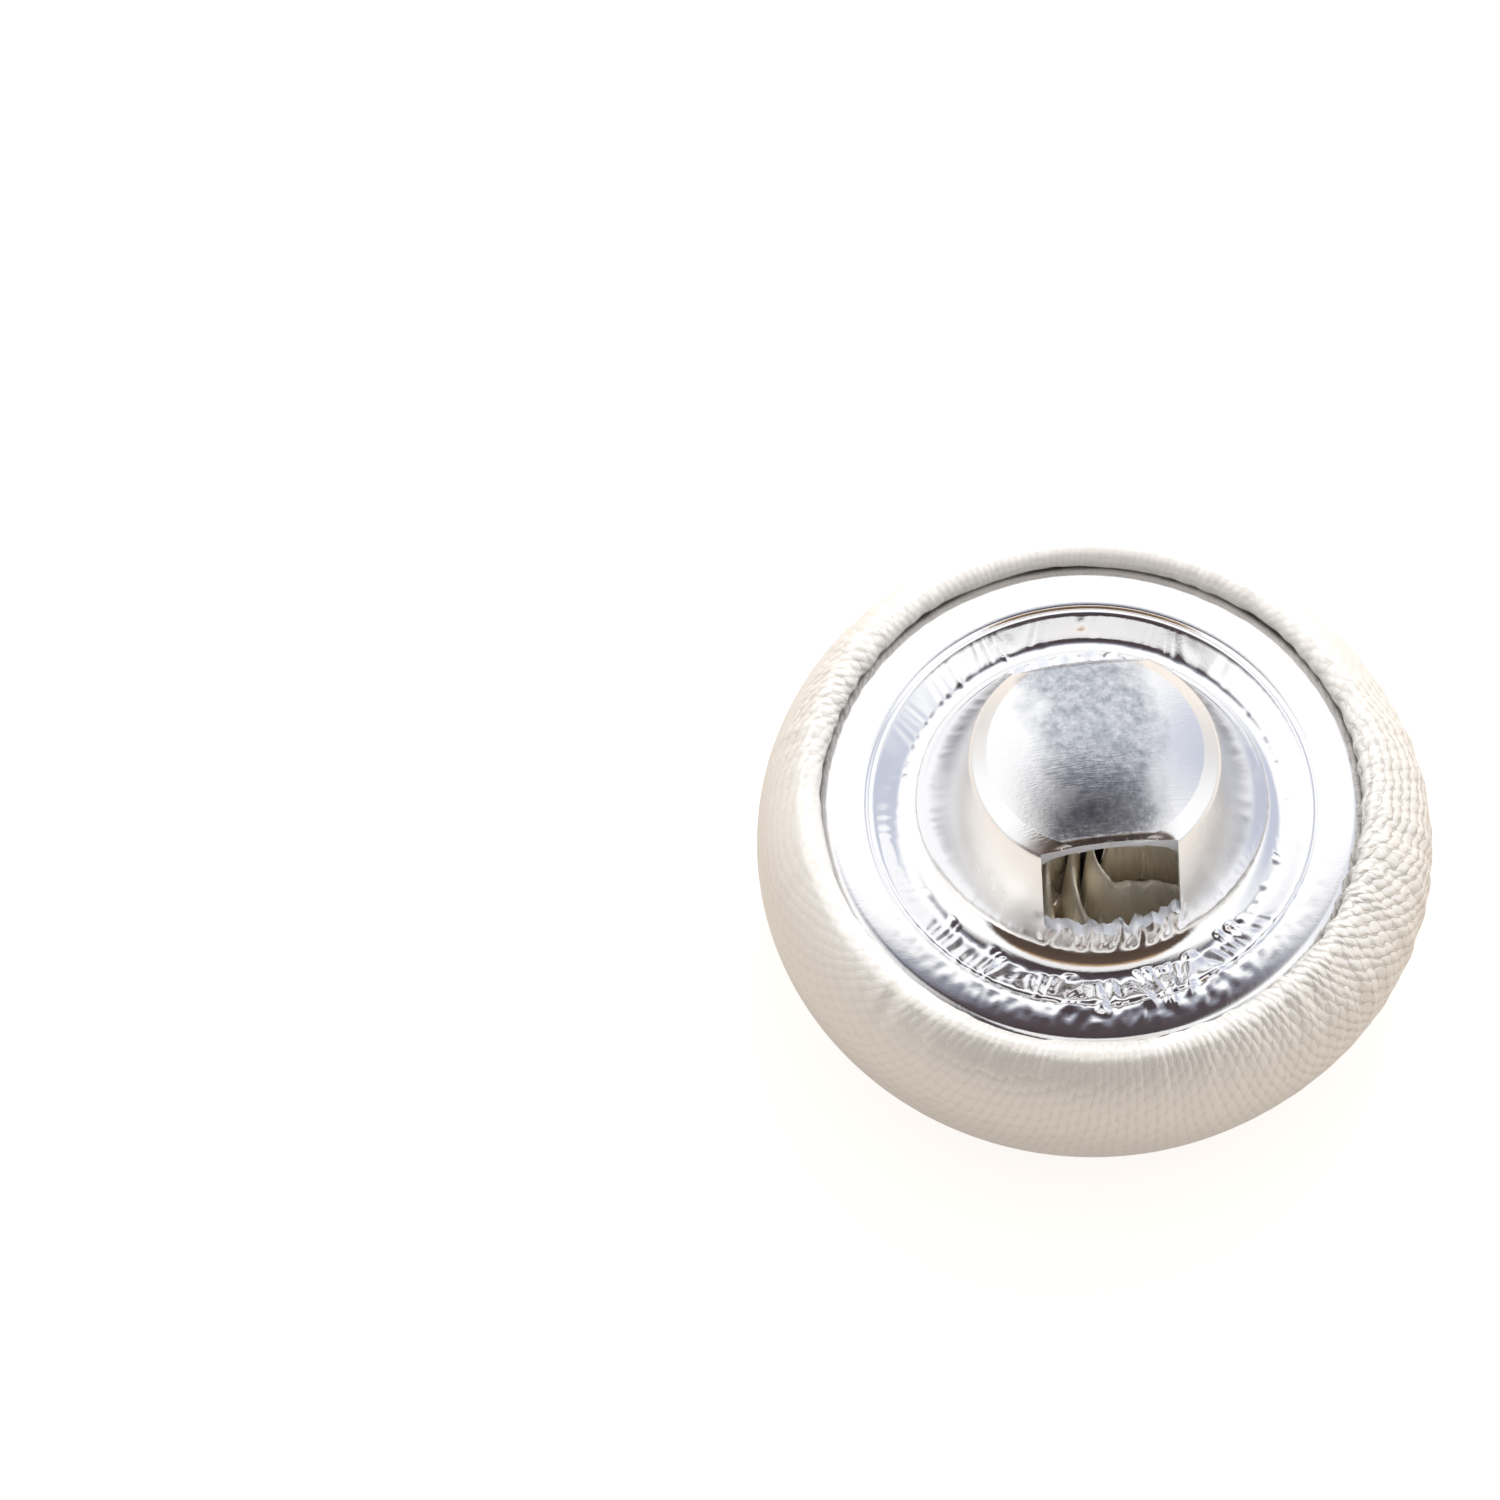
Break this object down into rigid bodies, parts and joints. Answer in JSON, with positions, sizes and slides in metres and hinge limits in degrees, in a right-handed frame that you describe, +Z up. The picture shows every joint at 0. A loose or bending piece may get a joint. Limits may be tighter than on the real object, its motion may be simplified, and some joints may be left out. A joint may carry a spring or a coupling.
{
  "type": "fabric covered button",
  "caption": "Round domed button covered in ivory satin, its pressed metal back plate raised into a hollow shank with a thread window on each side for sewing on.",
  "frame": {"origin": "the dome's apex, where the button lies on a surface with its shank up", "axes": "+Z up along the button's axis, from the domed face to the shank; the two thread windows face +Y and -Y"},
  "size_m": [0.015, 0.015, 0.0087],
  "materials": {
    "satin": "satin",
    "cap_metal": "satin",
    "back_metal": "polished"
  },
  "bodies": {
    "root": {"fabric_cover": "satin", "front_shell": "cap_metal", "back_plate": "back_metal"}
  },
  "joints": []
}
